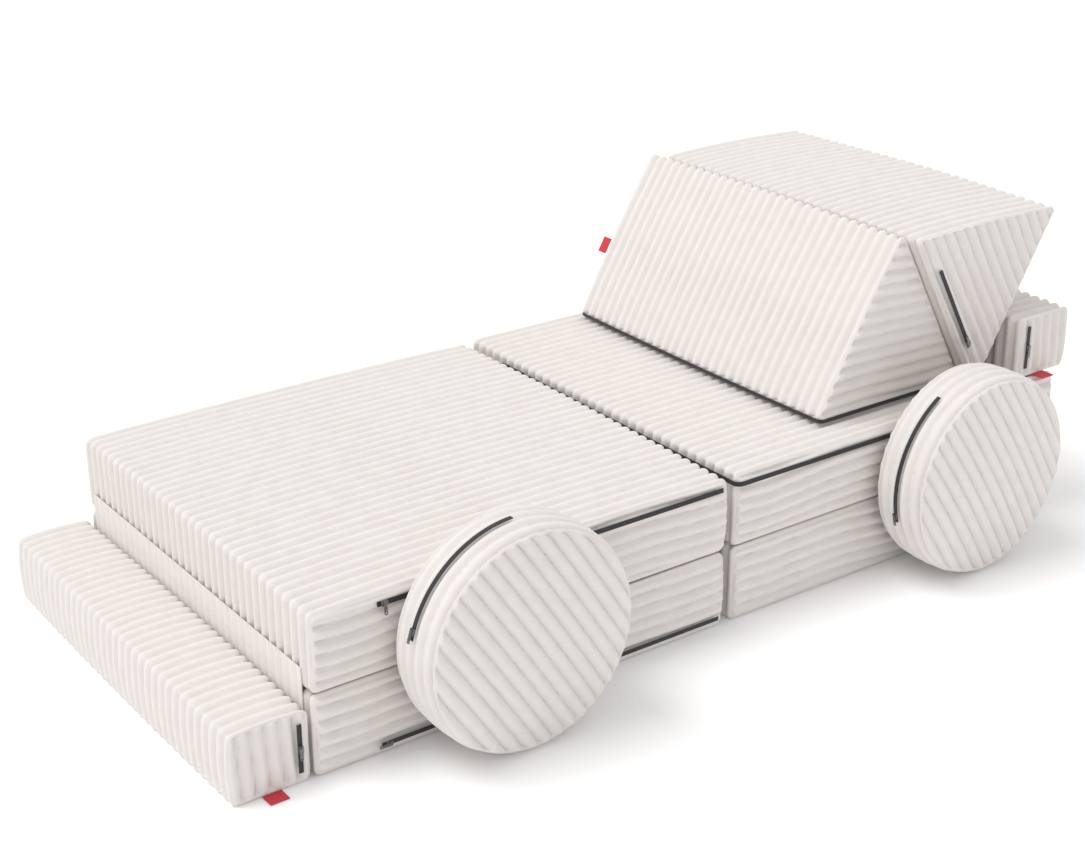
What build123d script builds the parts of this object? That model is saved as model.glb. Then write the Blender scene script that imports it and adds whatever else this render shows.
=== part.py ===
from build123d import *
import math
import os

# A children's play sofa of loose foam cushions, set out as a car.
# X runs from the bumper to the back, Y from the side with the wheels to the far side, Z up.
# All sizes are in millimetres.

# Mattress panels, two to a block
panel_length = 850.0
panel_width = 840.0
panel_height = 150.0
panel_side_bow = 8.0
panel_crown = 5.0
panel_rounding = 18.0
block_gap = 16.0

# Bars, one as the bumper and one behind the roof
bar_depth = 147.0
bar_height = 132.0
bar_length = 842.0
bar_bow = 5.0
bar_draw = 4.0
bar_rounding = 14.0
bumper_near = 3.0
rear_bar_near = 4.0

# Three-sided wedges, one upright and one upside down
wedge_side = 402.0
wedge_length = 745.0
wedge_bow = 6.0
wedge_draw = 5.0
wedge_rounding = 12.0
windscreen_setback = 598.0
windscreen_near = 66.0
roof_near = 40.0

# Wheels
wheel_diameter = 396.0
wheel_width = 122.0
wheel_crown = 12.0
wheel_rounding = 15.0
wheel_rim_bow = 3.0
front_wheel_place = 330.0
rear_wheel_setback = 324.0
floor_flat = 0.5

# Covers, foam and the clearances between loose pieces
cover_thickness = 5.0
foam_clearance = 0.3
loose_clearance = 0.3
overrun = 40.0
end_rounding_share = 0.75

# The fabric spine that joins the two panels of a block
spine_thickness = 2.0
spine_leaf_height = 40.0
spine_end_margin = 30.0

# Zips, their sliders and pulls
zip_width = 8.0
zip_thickness = 1.6
zip_edge_offset = 22.0
zip_start = 120.0
slider_length = 13.0
slider_width = 9.0
slider_thickness = 3.0
pull_length = 24.0
pull_width = 6.0
pull_thickness = 1.2
pull_hole_diameter = 3.0
slider_clearance = 0.3
bar_zip_length = 88.0
wheel_zip_span = 75.0
front_wheel_zip_angle = 92.0
rear_wheel_zip_angle = 122.0
slider_end_margin = 12.0
slider_end_angle = 4.0

# Bare tags sewn into three seams
tag_width = 34.0
tag_reach = 24.0
tag_thickness = 1.2
tag_floor_clearance = 1.0
bumper_tag_share = 0.5
rear_bar_tag_share = 0.45
windscreen_tag_share = 0.42

# Places worked out from the sizes above
panel_rise = panel_height + loose_clearance
deck_height = panel_height + panel_rise
rear_block_front = panel_length + block_gap
rear_block_back = rear_block_front + panel_length
wedge_height = wedge_side * math.sin(math.radians(60))
wheel_radius = wheel_diameter / 2
bumper_back = -spine_thickness - loose_clearance
bumper_front = bumper_back - bar_depth
windscreen_front = rear_block_back - windscreen_setback
windscreen_base = deck_height + loose_clearance
windscreen_back = windscreen_front + wedge_side
roof_apex_height = windscreen_base - wedge_rounding
slant = math.tan(math.radians(60))
slant_share = math.sin(math.radians(60))
roof_apex = windscreen_back + wedge_rounding / slant + loose_clearance / slant_share
bar_corner_reach = bar_rounding + loose_clearance + (bar_height - bar_rounding + wedge_rounding) / 2
rear_bar_front = roof_apex + bar_corner_reach / slant_share - bar_rounding
wheel_axle_height = wheel_radius + wheel_rim_bow - floor_flat
wheel_inner = -panel_side_bow - wheel_crown - loose_clearance
wheel_middle = wheel_inner - wheel_width / 2
wheel_outer = wheel_inner - wheel_width - wheel_crown
rear_end = max(rear_bar_front + bar_depth + bar_bow, rear_block_back + spine_thickness)
front_end = bumper_front - bar_bow
far_side = max(panel_width + panel_side_bow, bumper_near + bar_length)
origin = Vector((front_end + rear_end) / 2, (wheel_outer + far_side) / 2, 0)


def bowed_edge(start, end, bow):
    """A straight edge, or an arc that bows out to the right of its direction."""
    if bow == 0:
        return Line(start, end)
    span = Vector(end[0] - start[0], end[1] - start[1])
    outward = Vector(span.Y, -span.X).normalized()
    middle = Vector(start[0] + end[0], start[1] + end[1]) / 2 + outward * bow
    return ThreePointArc(start, (middle.X, middle.Y), end)


def moved_corners(corners, amounts):
    """The corners after each side has moved inward by its own amount."""
    count = len(corners)
    normals = []
    for index in range(count):
        start = corners[index]
        end = corners[(index + 1) % count]
        normals.append(Vector(end[1] - start[1], start[0] - end[0]).normalized())
    moved = []
    for index in range(count):
        before = normals[index - 1]
        after = normals[index]
        turn = before.dot(after)
        along_before = (turn * amounts[index] - amounts[index - 1]) / (1 - turn**2)
        along_after = (turn * amounts[index - 1] - amounts[index]) / (1 - turn**2)
        shift = before * along_before + after * along_after
        moved.append((corners[index][0] + shift.X, corners[index][1] + shift.Y))
    return moved


def section(plane, corners, bows, amounts, rounding):
    """One closed cross section of a cushion, with rounded corners."""
    points = moved_corners(corners, amounts)
    edges = []
    for index, start in enumerate(points):
        edges.append(bowed_edge(start, points[(index + 1) % len(points)], bows[index]))
    face = make_face(edges)
    face = fillet(face.vertices(), rounding)
    return plane * face


class Cushion:
    """A foam cushion: a cross section carried along one axis and drawn in at its two ends."""

    def __init__(self, axis, start, length, corners, bows, draws, rounding, floor=None):
        self.axis = axis
        self.start = start
        self.length = length
        self.corners = corners
        self.bows = bows
        self.draws = draws
        self.rounding = rounding
        self.floor = floor
        self.made = {}

    def plane(self, place):
        if self.axis == "x":
            return Plane(origin=(place, 0, 0), x_dir=(0, 1, 0), z_dir=(1, 0, 0))
        return Plane(origin=(0, place, 0), x_dir=(1, 0, 0), z_dir=(0, -1, 0))

    def solid(self, inset):
        """The closed shape of the cushion, shrunk on every side by the inset."""
        if inset not in self.made:
            self.made[inset] = self.shape(inset)
        return self.made[inset]

    def shape(self, inset):
        """The closed shape itself, cut flat where the cushion stands on the floor."""
        first = self.start + inset
        last = self.start + self.length - inset
        middle = (first + last) / 2
        flat = [inset] * len(self.corners)
        drawn = [inset + draw for draw in self.draws]
        rounding = self.rounding - inset
        stations = [(first, drawn), (middle, flat), (last, drawn)]
        faces = []
        for place, amounts in stations:
            faces.append(section(self.plane(place), self.corners, self.bows, amounts, rounding))
        body = loft(faces)
        line = Axis.X if self.axis == "x" else Axis.Y
        ends = body.faces().sort_by(line)
        rims = ends[0].edges() + ends[-1].edges()
        body = fillet(rims, rounding * end_rounding_share)
        if self.floor is None:
            return body
        box = body.bounding_box()
        low = (box.min.X - overrun, box.min.Y - overrun, self.floor - overrun)
        high = (box.max.X + overrun, box.max.Y + overrun, self.floor + inset)
        return body - block_between(low, high)

    def cover(self):
        return self.solid(0) - self.solid(cover_thickness)

    def core(self):
        return self.solid(cover_thickness + foam_clearance)

    def skin(self, thickness):
        """A thin layer lying on the outside of the cover."""
        return self.solid(-thickness) - self.solid(0)


def block_between(low, high):
    """A box between two opposite corners."""
    size = [top - bottom for bottom, top in zip(low, high)]
    centre = [(top + bottom) / 2 for bottom, top in zip(low, high)]
    return Pos(*centre) * Box(*size)


def bow_depth(chord, bow, offset):
    """How far an arc over a chord stands out, at an offset from the chord's middle."""
    radius = (chord**2 / 4 + bow**2) / (2 * bow)
    return math.sqrt(radius**2 - offset**2) - (radius - bow)


def panel(front, base, crown, floor=None):
    foot = base if floor is None else floor - floor_flat
    corners = [
        (0, foot),
        (panel_width, foot),
        (panel_width, base + panel_height),
        (0, base + panel_height),
    ]
    bows = [0, panel_side_bow, crown, panel_side_bow]
    draws = [0, 0, crown, 0]
    return Cushion("x", front, panel_length, corners, bows, draws, panel_rounding, floor)


def bar(front, near, base, bows, draws, floor=None):
    foot = base if floor is None else floor - floor_flat
    corners = [
        (front, foot),
        (front + bar_depth, foot),
        (front + bar_depth, base + bar_height),
        (front, base + bar_height),
    ]
    return Cushion("y", near, bar_length, corners, bows, draws, bar_rounding, floor)


def upright_wedge():
    corners = [
        (windscreen_front, windscreen_base),
        (windscreen_back, windscreen_base),
        (windscreen_front + wedge_side / 2, windscreen_base + wedge_height),
    ]
    bows = [0, 0, wedge_bow]
    draws = [0, 0, wedge_draw]
    return Cushion("y", windscreen_near, wedge_length, corners, bows, draws, wedge_rounding)


def inverted_wedge():
    top = roof_apex_height + wedge_height
    corners = [
        (roof_apex, roof_apex_height),
        (roof_apex + wedge_side / 2, top),
        (roof_apex - wedge_side / 2, top),
    ]
    bows = [0, wedge_bow, 0]
    draws = [0, wedge_draw, 0]
    return Cushion("y", roof_near, wedge_length, corners, bows, draws, wedge_rounding)


def wheel_disc(inset):
    """A crowned disc about the Y axis, shrunk on every side by the inset."""
    radius = wheel_radius - inset
    half = wheel_width / 2 - inset
    rounding = wheel_rounding - inset
    inner_radius = radius - rounding
    edge_share = math.sin(math.radians(45))
    edge_radius = inner_radius + rounding * edge_share
    edge_half = half - rounding + rounding * edge_share
    shoulder = half - rounding
    outer_face = ThreePointArc(
        (inner_radius, half),
        (inner_radius / 2, half + bow_depth(2 * inner_radius, wheel_crown, inner_radius / 2)),
        (0, half + wheel_crown),
    )
    inner_face = ThreePointArc(
        (0, -half - wheel_crown),
        (inner_radius / 2, -half - bow_depth(2 * inner_radius, wheel_crown, inner_radius / 2)),
        (inner_radius, -half),
    )
    inner_edge = ThreePointArc((inner_radius, -half), (edge_radius, -edge_half), (radius, -shoulder))
    tread = ThreePointArc((radius, -shoulder), (radius + wheel_rim_bow, 0), (radius, shoulder))
    outer_edge = ThreePointArc((radius, shoulder), (edge_radius, edge_half), (inner_radius, half))
    axle_line = Line((0, half + wheel_crown), (0, -half - wheel_crown))
    profile = make_face([outer_face, axle_line, inner_face, inner_edge, tread, outer_edge])
    return revolve(profile, Axis.Y)


def standing_wheel(disc, place, floor):
    """A disc set down beside a block, cut flat where it stands."""
    reach = wheel_radius + overrun
    low = (place - reach, wheel_middle - reach, -reach)
    high = (place + reach, wheel_middle + reach, floor)
    return Pos(place, wheel_middle, wheel_axle_height) * disc - block_between(low, high)


def round_direction(angle):
    """The direction from a wheel's middle towards a point of its tread."""
    return Vector(math.cos(math.radians(angle)), 0, math.sin(math.radians(angle)))


def wheel_zip(place, first, layer):
    """The zip round part of the tread."""
    reach = 2 * wheel_radius
    rim = [(0, 0, 0)]
    for share in (0, 1 / 2, 1):
        rim.append(round_direction(first + wheel_zip_span * share) * reach)
    fan = extrude(make_face(Polyline(*rim, close=True)), zip_width / 2, dir=(0, 1, 0), both=True)
    return Pos(place, wheel_middle, wheel_axle_height) * (layer & fan)


def slider_body(place, outward, along):
    """A zip slider lying on a zip, with its outer side and its run given."""
    body = Box(slider_length, slider_width, slider_thickness)
    body = fillet(body.edges().filter_by(Axis.Z), slider_width / 4)
    frame = Plane(origin=place, x_dir=along, z_dir=outward)
    return frame * Pos(0, 0, slider_thickness / 2) * body


def slider_pull(place, outward, hang):
    """The pull that hangs from a slider, with a hole at its free end."""
    tab = Box(pull_length, pull_width, pull_thickness)
    tab = fillet(tab.edges().filter_by(Axis.Z), pull_width / 3)
    hole = Cylinder(pull_hole_diameter / 2, 2 * pull_thickness)
    tab = tab - Pos((pull_length - pull_width) / 2, 0, 0) * hole
    frame = Plane(origin=place, x_dir=hang, z_dir=outward)
    height = slider_thickness + pull_thickness / 2
    return frame * Pos((pull_length - slider_width) / 2, 0, height) * tab


def add_slider(nodes, name, surface, outward, along, hang):
    """A slider and its pull, a little off the zip that lies on the surface."""
    outward = Vector(outward)
    place = Vector(surface) + outward * (zip_thickness + slider_clearance)
    nodes[name + "_slider"] = slider_body(place, outward, along)
    nodes[name + "_pull"] = slider_pull(place, outward, hang)


def spine_leaf(front, base):
    """One half of the fabric spine, lying on the end of a panel."""
    low = (front, spine_end_margin, base)
    high = (front + spine_thickness, panel_width - spine_end_margin, base + spine_leaf_height)
    return block_between(low, high)


def band_box(low, high):
    """The room that a zip takes up, as high as the zip is wide."""
    return block_between((low[0], low[1], low[2] - zip_width / 2), (high[0], high[1], high[2] + zip_width / 2))


def side_normal(height):
    """The outward direction of a panel's near side, at a height from its middle."""
    radius = (panel_height**2 / 4 + panel_side_bow**2) / (2 * panel_side_bow)
    rise = height / radius
    return Vector(0, -math.sqrt(1 - rise**2), rise)


def add_panel_zips(nodes):
    """Zips low on the lower panels and high on the upper ones."""
    low_height = zip_edge_offset
    high_height = panel_rise + panel_height - zip_edge_offset
    near = -panel_side_bow - overrun
    far = panel_width + panel_side_bow + overrun
    front_end = panel_length - panel_rounding
    rear_start = rear_block_front - overrun
    rear_corner = rear_block_front + panel_rounding
    rear_finish = rear_block_back - zip_start
    front_low = band_box((zip_start, near, low_height), (front_end, panel_rounding, low_height))
    front_high = band_box((zip_start, near, high_height), (front_end, panel_rounding, high_height))
    rear_near = band_box((rear_start, near, high_height), (rear_finish, panel_rounding, high_height))
    rear_across = band_box((rear_start, 0, high_height), (rear_corner, panel_width - zip_start, high_height))
    rear_far = band_box(
        (rear_corner, panel_width - panel_rounding, low_height),
        (rear_finish, far, low_height),
    )
    nodes["front_lower_zip"] = front_lower.skin(zip_thickness) & front_low
    nodes["front_upper_zip"] = front_upper.skin(zip_thickness) & front_high
    nodes["rear_upper_zip"] = rear_upper.skin(zip_thickness) & (rear_near + rear_across)
    nodes["rear_lower_zip"] = rear_lower.skin(zip_thickness) & rear_far
    offset = panel_height / 2 - zip_edge_offset
    depth = bow_depth(panel_height, panel_side_bow, offset)
    start = zip_start + slider_end_margin
    finish = rear_finish - slider_end_margin
    rising = side_normal(offset)
    falling = side_normal(-offset)
    down = Vector(0, -rising.Z, rising.Y)
    back = Vector(0, -falling.Y, falling.Z)
    add_slider(nodes, "front_lower", (start, -depth, low_height), falling, (1, 0, 0), (-1, 0, 0))
    add_slider(nodes, "front_upper", (start, -depth, high_height), rising, (1, 0, 0), down)
    add_slider(nodes, "rear_upper", (finish, -depth, high_height), rising, (1, 0, 0), down)
    add_slider(nodes, "rear_lower", (finish, panel_width + depth, low_height), back, (1, 0, 0), (1, 0, 0))


def end_strip(place, near, middle_height):
    """A short upright zip on the near end of a bar."""
    low = (place - zip_width / 2, near - zip_thickness, middle_height - bar_zip_length / 2)
    high = (place + zip_width / 2, near, middle_height + bar_zip_length / 2)
    return block_between(low, high)


def add_bar_zips(nodes):
    """Upright zips on the near ends of the two bars, each with its slider."""
    places = {
        "bumper": (bumper_back - zip_edge_offset, bumper_near, 0),
        "rear_bar": (rear_bar_front + zip_edge_offset, rear_bar_near, deck_height + loose_clearance),
    }
    for name, (place, near, base) in places.items():
        middle = base + bar_height / 2
        nodes[name + "_zip"] = end_strip(place, near, middle)
        surface = (place, near, middle)
        add_slider(nodes, name, surface, (0, -1, 0), (0, 0, 1), (0, 0, -1))


def add_wedge_zips(nodes):
    """The windscreen's zip round its foot, and the roof's up its near end."""
    height = windscreen_base + zip_width
    corner = windscreen_front + wedge_side / 4
    finish = windscreen_back - wedge_side / 4
    near = windscreen_near - overrun
    far = windscreen_near + wedge_length - wedge_rounding
    start = windscreen_front - overrun
    front_room = band_box((start, windscreen_near, height), (corner, far, height))
    near_room = band_box((start, near, height), (finish, windscreen_near + wedge_rounding, height))
    front_only = band_box((start, near, height), (windscreen_front + wedge_side / 8, far, height))
    nodes["windscreen_zip"] = windscreen.skin(zip_thickness) & ((front_room & front_only) + near_room)
    surface = (finish - slider_end_margin, windscreen_near, height)
    add_slider(nodes, "windscreen", surface, (0, -1, 0), (1, 0, 0), (1, 0, 0))
    up_slope = Vector(-1 / 2, 0, slant_share)
    into_roof = Vector(slant_share, 0, 1 / 2)
    foot = Vector(roof_apex, roof_near, roof_apex_height) + into_roof * zip_edge_offset
    middle = foot + up_slope * wedge_side / 2
    strip_frame = Plane(origin=middle, x_dir=up_slope, z_dir=(0, -1, 0))
    strip = Pos(0, 0, zip_thickness / 2) * Box(wedge_side / 2, zip_width, zip_thickness)
    nodes["roof_zip"] = strip_frame * strip
    seat = middle - up_slope * (wedge_side / 4 - slider_end_margin)
    add_slider(nodes, "roof", seat, (0, -1, 0), up_slope, up_slope)


def add_wheels(nodes):
    """Two wheel cushions on the near side, with zips round part of their treads."""
    places = {
        "front_wheel": (front_wheel_place, front_wheel_zip_angle),
        "rear_wheel": (rear_block_back - rear_wheel_setback, rear_wheel_zip_angle),
    }
    outer = wheel_disc(0)
    hollow = wheel_disc(cover_thickness)
    foam = wheel_disc(cover_thickness + foam_clearance)
    ring = Rot(90, 0, 0) * Cylinder(wheel_radius + overrun, zip_width)
    layer = (wheel_disc(-zip_thickness) - outer) & ring
    for name, (place, first) in places.items():
        inside = standing_wheel(hollow, place, cover_thickness)
        nodes[name + "_cover"] = standing_wheel(outer, place, 0) - inside
        nodes[name + "_core"] = standing_wheel(foam, place, cover_thickness + foam_clearance)
        nodes[name + "_zip"] = wheel_zip(place, first, layer)
        seat_angle = first + wheel_zip_span - slider_end_angle
        outward = round_direction(seat_angle)
        along = round_direction(seat_angle + 90)
        middle = Vector(place, wheel_middle, wheel_axle_height)
        surface = middle + outward * (wheel_radius + wheel_rim_bow)
        add_slider(nodes, name, surface, outward, along, along)


def end_tag(front, near, base, host):
    """A bare tag that sticks out of the near end's lower seam."""
    low = (front, near - tag_reach, base + tag_floor_clearance)
    high = (front + tag_width, near + bar_rounding, base + tag_floor_clearance + tag_thickness)
    return block_between(low, high) - host.solid(0)


def add_tags(nodes):
    """Three bare tags, on the bumper, the rear bar and the far edge of the windscreen."""
    bumper_place = bumper_front + bar_depth * bumper_tag_share - tag_width / 2
    rear_place = rear_bar_front + bar_depth * rear_bar_tag_share - tag_width / 2
    rear_base = deck_height + loose_clearance
    nodes["bumper_tag"] = end_tag(bumper_place, bumper_near, 0, bumper)
    nodes["rear_bar_tag"] = end_tag(rear_place, rear_bar_near, rear_base, rear_bar)
    slope = Vector(1 / 2, 0, slant_share)
    normal = Vector(-slant_share, 0, 1 / 2)
    far = windscreen_near + wedge_length
    foot = Vector(windscreen_front, far, windscreen_base)
    place = foot + slope * (wedge_side * windscreen_tag_share) - normal * wedge_draw
    frame = Plane(origin=place, x_dir=slope, z_dir=normal)
    length = tag_reach + wedge_rounding
    plate = Pos(0, (tag_reach - wedge_rounding) / 2, 0) * Box(tag_width, length, tag_thickness)
    nodes["windscreen_tag"] = frame * plate - windscreen.solid(0)


def add_spines(nodes):
    """The fabric spines that hold each block's two panels together."""
    low = panel_height - spine_leaf_height
    nodes["front_spine_lower"] = spine_leaf(-spine_thickness, low)
    nodes["front_spine_upper"] = spine_leaf(-spine_thickness, panel_rise)
    nodes["rear_spine_lower"] = spine_leaf(rear_block_back, low)
    nodes["rear_spine_upper"] = spine_leaf(rear_block_back, panel_rise)


front_lower = panel(0, 0, 0, 0)
front_upper = panel(0, panel_rise, panel_crown)
rear_lower = panel(rear_block_front, 0, 0, 0)
rear_upper = panel(rear_block_front, panel_rise, 0)
bumper = bar(bumper_front, bumper_near, 0, [0, 0, bar_bow, bar_bow], [0, 0, bar_draw, bar_draw], 0)
rear_bar = bar(
    rear_bar_front,
    rear_bar_near,
    deck_height + loose_clearance,
    [0, bar_bow, 0, 0],
    [0, bar_draw, bar_draw, 0],
)
windscreen = upright_wedge()
roof = inverted_wedge()
cushions = {
    "front_lower": front_lower,
    "front_upper": front_upper,
    "rear_lower": rear_lower,
    "rear_upper": rear_upper,
    "bumper": bumper,
    "rear_bar": rear_bar,
    "windscreen": windscreen,
    "roof": roof,
}


def all_nodes():
    """Every piece of the sofa, by name."""
    nodes = {}
    for name, cushion in cushions.items():
        nodes[name + "_cover"] = cushion.cover()
        nodes[name + "_core"] = cushion.core()
    add_wheels(nodes)
    add_panel_zips(nodes)
    add_bar_zips(nodes)
    add_wedge_zips(nodes)
    add_tags(nodes)
    add_spines(nodes)
    return nodes


os.makedirs("parts", exist_ok=True)
for name, node in all_nodes().items():
    export_step(Pos(*-origin) * node, "parts/" + name + ".step")
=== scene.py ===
import math

import bmesh
import bpy
import numpy as np
from mathutils import Matrix, Vector


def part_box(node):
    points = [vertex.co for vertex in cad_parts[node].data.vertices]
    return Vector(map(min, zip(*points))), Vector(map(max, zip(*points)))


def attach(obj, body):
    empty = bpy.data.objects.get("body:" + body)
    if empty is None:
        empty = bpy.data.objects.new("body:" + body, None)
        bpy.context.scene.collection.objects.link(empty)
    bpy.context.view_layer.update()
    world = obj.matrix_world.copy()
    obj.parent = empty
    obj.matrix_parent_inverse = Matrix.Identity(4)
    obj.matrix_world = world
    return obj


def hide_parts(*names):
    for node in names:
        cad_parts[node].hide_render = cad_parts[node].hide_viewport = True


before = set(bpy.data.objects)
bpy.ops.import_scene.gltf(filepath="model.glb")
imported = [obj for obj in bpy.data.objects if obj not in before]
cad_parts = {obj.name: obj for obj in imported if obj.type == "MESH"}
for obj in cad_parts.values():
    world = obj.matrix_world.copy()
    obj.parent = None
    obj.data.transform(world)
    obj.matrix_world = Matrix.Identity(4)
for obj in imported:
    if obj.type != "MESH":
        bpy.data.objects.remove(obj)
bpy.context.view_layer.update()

# Sizes in metres
panel_side_bow = 0.008
rib_pitch = 0.025
rib_depth = 0.0105
samples_per_rib = 8
voxel = rib_pitch / samples_per_rib
seam_depth = 0.0022
wave_depth = 0.0014
dent_depth = 0.0005
spine_margin = 0.0005
foam_inset = 0.01
same_point = 1e-6
resting_start = 0.002
resting_end = 0.008
floor_reach = 60

# Shares of a whole
rib_roundness = 0.8
rib_fade_start = 0.12
rib_fade_end = 0.6
seam_width = 0.3
resting_share = 0.15
spine_rib_share = 0.2

# The unevenness of the cushions, in radians per metre, and its step from one cushion to the next
wave_rate = 9
dent_rate = 70
phase_step = 0.7

# The slope of the ribs on the ends, in radians
roof_rib_slope = math.radians(60)
wheel_rib_slope = math.radians(56)

# The light, with the lamp's turns in radians
sky_strength = 0.78
lamp_energy = 1.45
lamp_spread = math.radians(30)
lamp_turn = (math.radians(-14), math.radians(-24), 0)

# Dark and light shade of each material
plush_shades = ((0.775, 0.732, 0.706), (0.825, 0.787, 0.76))
foam_shades = ((0.78, 0.74, 0.60), (0.92, 0.89, 0.78))
zip_shades = ((0.006, 0.006, 0.007), (0.03, 0.03, 0.032))
metal_shades = ((0.10, 0.10, 0.105), (0.28, 0.28, 0.29))
tag_shades = ((0.50, 0.015, 0.03), (0.72, 0.05, 0.07))
floor_shades = ((0.975, 0.975, 0.975), (0.985, 0.985, 0.985))

# The camera, in units of one panel's height from the front block's near lower corner
panel_unit = 0.15
camera_place = Vector((-7.9075, -14.8955, 11.2525))
camera_yaw = 0.6295
camera_pitch = -0.4106
camera_roll = 0.0014
focal_pixels = 1877.84
photo_width = 1085
sensor_width = 36

near_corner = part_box("front_lower_cover")[0]
block_origin = Vector((near_corner[0], near_corner[1] + panel_side_bow, 0))


def placed(name, mesh):
    """A new object in the scene."""
    piece = bpy.data.objects.new(name, mesh)
    bpy.context.scene.collection.objects.link(piece)
    return piece


def stand_in(piece, node, body):
    """The piece rides on a body, in place of a node of the frame."""
    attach(piece, body)
    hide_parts(node)


def smooth_step(low, high, value):
    """A rise from 0 to 1 with a level start and end."""
    share = np.clip((value - low) / (high - low), 0, 1)
    return share * share * (3 - 2 * share)


def rib_profile(distance):
    """Round ribs with narrow valleys: 0 on a crest, 1 in a valley."""
    return 1 - np.abs(np.sin(math.pi * distance / rib_pitch)) ** rib_roundness


def wander(points, scale, phase):
    """A slow, even unevenness between -1 and 1."""
    x, y, z = (points * scale).T
    first = np.sin(x + 1.7 * np.sin(0.9 * y + phase) + phase)
    second = np.sin(1.3 * y + 1.2 * np.sin(1.1 * z - phase) + 2 * phase)
    third = np.sin(1.1 * z + 0.8 * np.sin(x) + 3 * phase)
    return (first + second + third) / 3


def outer_shell(node):
    """The outer skin of a cover, without the skin round its hollow."""
    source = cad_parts[node].data
    work = bmesh.new()
    work.from_mesh(source)
    bmesh.ops.remove_doubles(work, verts=work.verts, dist=same_point)
    highest = max(work.verts, key=lambda vert: vert.co.z)
    keep = {highest}
    waiting = [highest]
    while waiting:
        vert = waiting.pop()
        for link in vert.link_edges:
            other = link.other_vert(vert)
            if other not in keep:
                keep.add(other)
                waiting.append(other)
    loose = [vert for vert in work.verts if vert not in keep]
    bmesh.ops.delete(work, geom=loose, context="VERTS")
    mesh = bpy.data.meshes.new(node + "_skin")
    work.to_mesh(mesh)
    work.free()
    return mesh


def remeshed(name, mesh):
    """The same form as an even mesh, fine enough for the ribs."""
    piece = placed(name, mesh)
    even = piece.modifiers.new("even", "REMESH")
    even.mode = "VOXEL"
    even.voxel_size = voxel
    soft = piece.modifiers.new("soft", "SMOOTH")
    soft.factor = 0.5
    soft.iterations = 2
    bpy.context.view_layer.update()
    shown = piece.evaluated_get(bpy.context.evaluated_depsgraph_get())
    result = bpy.data.meshes.new_from_object(shown)
    piece.modifiers.clear()
    piece.data = result
    return piece


def points_of(mesh):
    """The place of each vertex, one a row."""
    flat = np.empty(len(mesh.vertices) * 3)
    mesh.vertices.foreach_get("co", flat)
    return flat.reshape(-1, 3)


def normals_of(mesh):
    """The normal at each vertex, one a row."""
    flat = np.empty(len(mesh.vertices) * 3)
    mesh.vertex_normals.foreach_get("vector", flat)
    return flat.reshape(-1, 3)


def aslant(x, z, slope):
    """The distance across ribs that run at a slope over an end."""
    return x * math.sin(slope) + z * math.cos(slope)


def panel_ribs(x, y, z, height):
    """Level ribs on the sides, and ribs along the length on top and down the ends."""
    sag = 0.006 * np.sin(5.5 * x + 14 * height) + 0.004 * np.sin(17 * x + 1.3)
    return z + sag, y + 0.0015 * np.sin(7 * x)


def bar_ribs(x, y, z, height):
    """Upright ribs on the bar's ends, and ribs round it."""
    return x + 0.003 * np.sin(25 * z), y + 0.002 * np.sin(20 * (x + z))


def windscreen_ribs(x, y, z, height):
    """Level ribs on the three-sided ends, and ribs up the slopes."""
    return z + 0.004 * np.sin(14 * x), y + 0.002 * np.sin(11 * z)


def roof_ribs(x, y, z, height):
    """Ribs along the leading edge on the ends, and ribs across the roof."""
    return aslant(x, z, roof_rib_slope) + 0.002 * np.sin(12 * z), y + 0.002 * np.sin(11 * x)


def wheel_ribs(x, y, z, height):
    """Slanting ribs on the faces, and ribs round the tread."""
    return aslant(x, z, wheel_rib_slope) + 0.002 * np.sin(9 * x), y


def ribbed_cushion(name, node, body, ribs, phase):
    """A cushion in ribbed plush, drawn in along its seams and a little uneven."""
    piece = remeshed(name, outer_shell(node))
    mesh = piece.data
    points = points_of(mesh)
    normals = normals_of(mesh)
    low, high = (np.array(corner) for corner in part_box(node))
    middle = (low + high) / 2
    on_ends, elsewhere = ribs(*(points - middle).T, middle[2])
    seam = np.abs(normals[:, 1]) - np.hypot(normals[:, 0], normals[:, 2])
    across = np.where(seam > 0, on_ends, elsewhere)
    strength = smooth_step(rib_fade_start, rib_fade_end, np.abs(seam))
    drawn_in = seam_depth * np.exp(-((seam / seam_width) ** 2))
    slow = wave_depth * (0.5 + 0.5 * wander(points, wave_rate, phase))
    fine = dent_depth * (0.5 + 0.5 * wander(points, dent_rate, phase))
    depth = rib_depth * strength * rib_profile(across) + drawn_in + slow + fine
    above_rest = smooth_step(resting_start, resting_end, points[:, 2] - low[2])
    share = resting_share + (1 - resting_share) * above_rest
    moved = points - normals * (depth * share)[:, None]
    mesh.vertices.foreach_set("co", moved.ravel())
    mesh.update()
    mesh.shade_smooth()
    mesh.materials.clear()
    mesh.materials.append(plush)
    stand_in(piece, node, body)


def foam_block(name, node, body):
    """A cushion's foam, set back far enough for the valleys between the ribs."""
    work = bmesh.new()
    work.from_mesh(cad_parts[node].data)
    bmesh.ops.remove_doubles(work, verts=work.verts, dist=same_point)
    work.normal_update()
    shifts = [vert.normal * foam_inset for vert in work.verts]
    for vert, shift in zip(work.verts, shifts):
        vert.co -= shift
    mesh = bpy.data.meshes.new(name)
    work.to_mesh(mesh)
    work.free()
    mesh.materials.append(foam)
    piece = placed(name, mesh)
    stand_in(piece, node, body)


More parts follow.
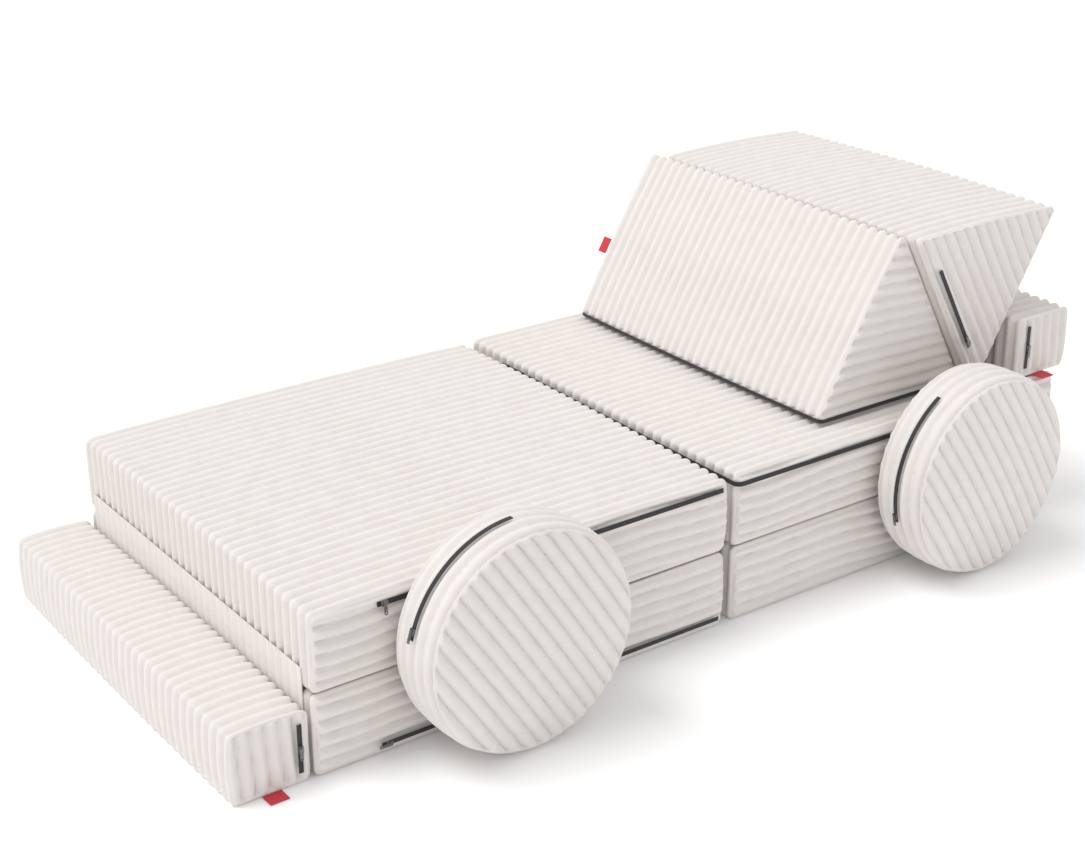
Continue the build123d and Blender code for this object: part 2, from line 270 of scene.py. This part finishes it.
def ribbed_spine(name, node, body, host):
    """A strip of the cover that crosses the line between two panels, ribbed like the panel's end."""
    low, high = (Vector(corner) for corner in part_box(node))
    host_low, host_high = (Vector(corner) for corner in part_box(host))
    middle = (host_low.y + host_high.y) / 2
    step = rib_pitch / (2 * samples_per_rib)
    count = int((high.y - low.y) / step)
    outward = -1 if low.x < host_low.x else 1
    outer = low.x if outward < 0 else high.x
    inner = high.x if outward < 0 else low.x
    work = bmesh.new()
    rings = []
    for index in range(count + 1):
        y = low.y + (high.y - low.y) * index / count
        sink = rib_depth * spine_rib_share * float(rib_profile(np.array(y - middle)))
        front = outer - outward * sink
        ring = [
            (front, y, low.z),
            (front, y, high.z),
            (inner, y, high.z - spine_margin),
            (inner, y, low.z + spine_margin),
        ]
        rings.append([work.verts.new(place) for place in ring])
    for before, after in zip(rings, rings[1:]):
        for side in range(4):
            turn = (side + 1) % 4
            work.faces.new((before[side], before[turn], after[turn], after[side]))
    work.faces.new(rings[0])
    work.faces.new(rings[-1][::-1])
    bmesh.ops.recalc_face_normals(work, faces=work.faces)
    mesh = bpy.data.meshes.new(name)
    work.to_mesh(mesh)
    work.free()
    mesh.materials.append(plush)
    piece = placed(name, mesh)
    stand_in(piece, node, body)


def new_material(name):
    """A material with its nodes, its links and its shader."""
    material = bpy.data.materials.new(name)
    material.use_nodes = True
    nodes = material.node_tree.nodes
    return material, nodes, material.node_tree.links, nodes["Principled BSDF"]


def noise(nodes, links, scale, detail, stretch=(1, 1, 1)):
    """Noise in real size, with an optional stretch for fibres."""
    place = nodes.new("ShaderNodeTexCoord")
    mapping = nodes.new("ShaderNodeMapping")
    mapping.inputs["Scale"].default_value = stretch
    texture = nodes.new("ShaderNodeTexNoise")
    texture.inputs["Scale"].default_value = scale
    texture.inputs["Detail"].default_value = detail
    links.new(place.outputs["Object"], mapping.inputs["Vector"])
    links.new(mapping.outputs["Vector"], texture.inputs["Vector"])
    return texture


def ramp(nodes, links, source, shades, low=0.3, high=0.7):
    """A run of colour between two shades."""
    dark, light = shades
    colours = nodes.new("ShaderNodeValToRGB")
    colours.color_ramp.elements[0].position = low
    colours.color_ramp.elements[1].position = high
    colours.color_ramp.elements[0].color = (*dark, 1)
    colours.color_ramp.elements[1].color = (*light, 1)
    links.new(source, colours.inputs["Fac"])
    return colours.outputs["Color"]


def bump(nodes, links, source, strength, distance, under=None):
    """A relief from a texture, over another one if there is one."""
    node = nodes.new("ShaderNodeBump")
    node.inputs["Strength"].default_value = strength
    node.inputs["Distance"].default_value = distance
    links.new(source, node.inputs["Height"])
    if under is not None:
        links.new(under, node.inputs["Normal"])
    return node.outputs["Normal"]


def plush_material():
    """Cream cord plush: a short pile with a soft sheen and slight shading of the nap."""
    material, nodes, links, shader = new_material("cream_plush")
    nap = noise(nodes, links, 38, 4)
    pile = noise(nodes, links, 900, 3)
    colour = ramp(nodes, links, nap.outputs["Fac"], plush_shades, 0.2, 0.8)
    links.new(colour, shader.inputs["Base Color"])
    soft = bump(nodes, links, nap.outputs["Fac"], 0.12, 0.003)
    links.new(bump(nodes, links, pile.outputs["Fac"], 0.45, 0.0012, soft), shader.inputs["Normal"])
    shader.inputs["Roughness"].default_value = 0.95
    shader.inputs["Sheen Weight"].default_value = 0.25
    shader.inputs["Sheen Roughness"].default_value = 0.5
    shader.inputs["Specular IOR Level"].default_value = 0.15
    return material


def woven_material(name, shades, scale, roughness):
    """A woven cloth with crossing threads."""
    material, nodes, links, shader = new_material(name)
    warp = noise(nodes, links, scale, 2, (1, 6, 1))
    weft = noise(nodes, links, scale, 2, (6, 1, 6))
    colour = ramp(nodes, links, warp.outputs["Fac"], shades)
    links.new(colour, shader.inputs["Base Color"])
    lower = bump(nodes, links, warp.outputs["Fac"], 0.5, 0.0006)
    links.new(bump(nodes, links, weft.outputs["Fac"], 0.5, 0.0006, lower), shader.inputs["Normal"])
    shader.inputs["Roughness"].default_value = roughness
    shader.inputs["Sheen Weight"].default_value = 0.1
    return material


def metal_material():
    """Dark plated zip metal, worn a little brighter in places."""
    material, nodes, links, shader = new_material("gunmetal")
    wear = noise(nodes, links, 350, 3)
    colour = ramp(nodes, links, wear.outputs["Fac"], metal_shades)
    links.new(colour, shader.inputs["Base Color"])
    links.new(bump(nodes, links, wear.outputs["Fac"], 0.15, 0.0003), shader.inputs["Normal"])
    shader.inputs["Metallic"].default_value = 1
    shader.inputs["Roughness"].default_value = 0.35
    return material


def foam_material():
    """Pale open-cell foam."""
    material, nodes, links, shader = new_material("foam")
    cells = noise(nodes, links, 500, 4)
    colour = ramp(nodes, links, cells.outputs["Fac"], foam_shades)
    links.new(colour, shader.inputs["Base Color"])
    links.new(bump(nodes, links, cells.outputs["Fac"], 0.6, 0.001), shader.inputs["Normal"])
    shader.inputs["Roughness"].default_value = 0.9
    return material


def dress_frame_nodes():
    """The finish of each piece that keeps its own form."""
    finishes = {
        "_zip": woven_material("zip_tape", zip_shades, 900, 0.6),
        "_slider": metal_material(),
        "_tag": woven_material("tag_cloth", tag_shades, 700, 0.8),
    }
    finishes["_pull"] = finishes["_slider"]
    for name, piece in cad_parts.items():
        for ending, finish in finishes.items():
            if name.endswith(ending):
                piece.data.materials.clear()
                piece.data.materials.append(finish)


def floor_and_light():
    """A plain white floor, a soft sky and one broad lamp."""
    material, nodes, links, shader = new_material("white_floor")
    grain = noise(nodes, links, 3, 1)
    colour = ramp(nodes, links, grain.outputs["Fac"], floor_shades)
    links.new(colour, shader.inputs["Base Color"])
    shader.inputs["Roughness"].default_value = 1
    shader.inputs["Specular IOR Level"].default_value = 0
    shader.inputs["Emission Color"].default_value = (1, 1, 1, 1)
    shader.inputs["Emission Strength"].default_value = 0.03
    reach = floor_reach
    mesh = bpy.data.meshes.new("floor")
    corners = [(-reach, -reach, 0), (reach, -reach, 0), (reach, reach, 0), (-reach, reach, 0)]
    mesh.from_pydata(corners, [], [(0, 1, 2, 3)])
    mesh.materials.append(material)
    floor = placed("floor", mesh)
    world = bpy.data.worlds.new("studio")
    bpy.context.scene.world = world
    world.use_nodes = True
    tree = world.node_tree
    background = tree.nodes["Background"]
    background.inputs["Color"].default_value = (1, 1, 1, 1)
    path = tree.nodes.new("ShaderNodeLightPath")
    seen = tree.nodes.new("ShaderNodeMapRange")
    seen.inputs["To Min"].default_value = sky_strength
    seen.inputs["To Max"].default_value = 1
    tree.links.new(path.outputs["Is Camera Ray"], seen.inputs["Value"])
    tree.links.new(seen.outputs["Result"], background.inputs["Strength"])
    lamp_data = bpy.data.lights.new("broad_lamp", "SUN")
    lamp_data.energy = lamp_energy
    lamp_data.angle = lamp_spread
    lamp = placed("broad_lamp", lamp_data)
    lamp.rotation_euler = lamp_turn


def photograph_camera():
    """The camera, from the view of the photograph."""
    level = math.cos(camera_pitch)
    ahead = Vector((math.sin(camera_yaw) * level, math.cos(camera_yaw) * level, math.sin(camera_pitch)))
    right = Vector((math.cos(camera_yaw), -math.sin(camera_yaw), 0))
    up = right.cross(ahead)
    rolled_right = right * math.cos(camera_roll) + up * math.sin(camera_roll)
    rolled_up = up * math.cos(camera_roll) - right * math.sin(camera_roll)
    data = bpy.data.cameras.new("camera")
    data.sensor_fit = "HORIZONTAL"
    data.sensor_width = sensor_width
    data.lens = focal_pixels * sensor_width / photo_width
    data.clip_end = 200
    camera = bpy.data.objects.new("camera", data)
    turn = Matrix((rolled_right, rolled_up, -ahead)).transposed()
    camera.matrix_world = Matrix.Translation(block_origin + camera_place * panel_unit) @ turn.to_4x4()
    bpy.context.scene.collection.objects.link(camera)
    bpy.context.scene.camera = camera


plush = plush_material()
foam = foam_material()
dress_frame_nodes()
cushions = [
    ("front_lower", "front_block", panel_ribs),
    ("front_upper", "front_top_panel", panel_ribs),
    ("rear_lower", "rear_block", panel_ribs),
    ("rear_upper", "rear_top_panel", panel_ribs),
    ("bumper", "bumper", bar_ribs),
    ("rear_bar", "rear_bar", bar_ribs),
    ("windscreen", "windscreen", windscreen_ribs),
    ("roof", "roof", roof_ribs),
    ("front_wheel", "front_wheel", wheel_ribs),
    ("rear_wheel", "rear_wheel", wheel_ribs),
]
for index, (name, body, ribs) in enumerate(cushions):
    ribbed_cushion(name + "_cushion", name + "_cover", body, ribs, phase_step * index)
    foam_block(name + "_foam", name + "_core", body)
for end in ("front", "rear"):
    host = end + "_lower_cover"
    ribbed_spine(end + "_spine_foot", end + "_spine_lower", end + "_block", host)
    ribbed_spine(end + "_spine_head", end + "_spine_upper", end + "_top_panel", host)
floor_and_light()
photograph_camera()
bpy.context.scene.view_settings.view_transform = "Standard"
